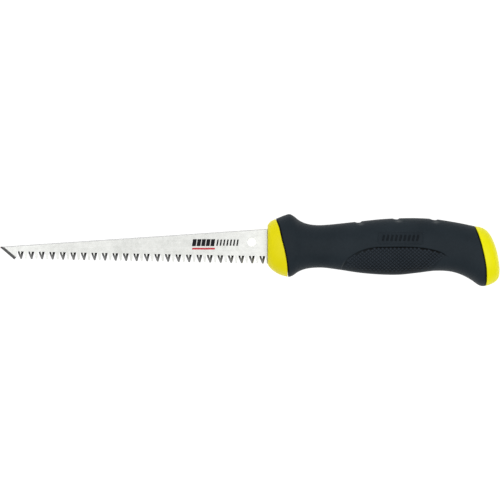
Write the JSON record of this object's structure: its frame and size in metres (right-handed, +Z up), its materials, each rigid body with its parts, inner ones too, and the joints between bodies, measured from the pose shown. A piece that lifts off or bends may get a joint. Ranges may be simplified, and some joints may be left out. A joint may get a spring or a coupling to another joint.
{
  "type": "drywall saw",
  "caption": "Hand saw for plasterboard: narrow pointed blade with alternately ground teeth, and a contoured soft-grip handle with a hard nose and butt cap.",
  "frame": {"origin": "middle of the bounding box in X and Y, at its lowest point in Z, where the saw lies on its side on a bench", "axes": "+X along the saw from the blade's point to the butt of the handle, +Y from the tooth edge to the back of the blade, +Z up through the thickness"},
  "size_m": [0.285, 0.0411, 0.029],
  "materials": {
    "blade_steel": "satin, with ground tooth flanks",
    "pin_steel": "plain turned",
    "core_yellow": "moulded satin",
    "cap_yellow": "moulded satin",
    "grip_rubber": "soft matte, cross-hatched panel on each side"
  },
  "bodies": {
    "root": {"blade": "blade_steel", "core_left": "core_yellow", "core_right": "core_yellow", "tang_pin_front": "pin_steel", "tang_pin_rear": "pin_steel", "core_dowel": "pin_steel", "grip_sleeve": "grip_rubber", "butt_cap": "cap_yellow"}
  },
  "joints": []
}
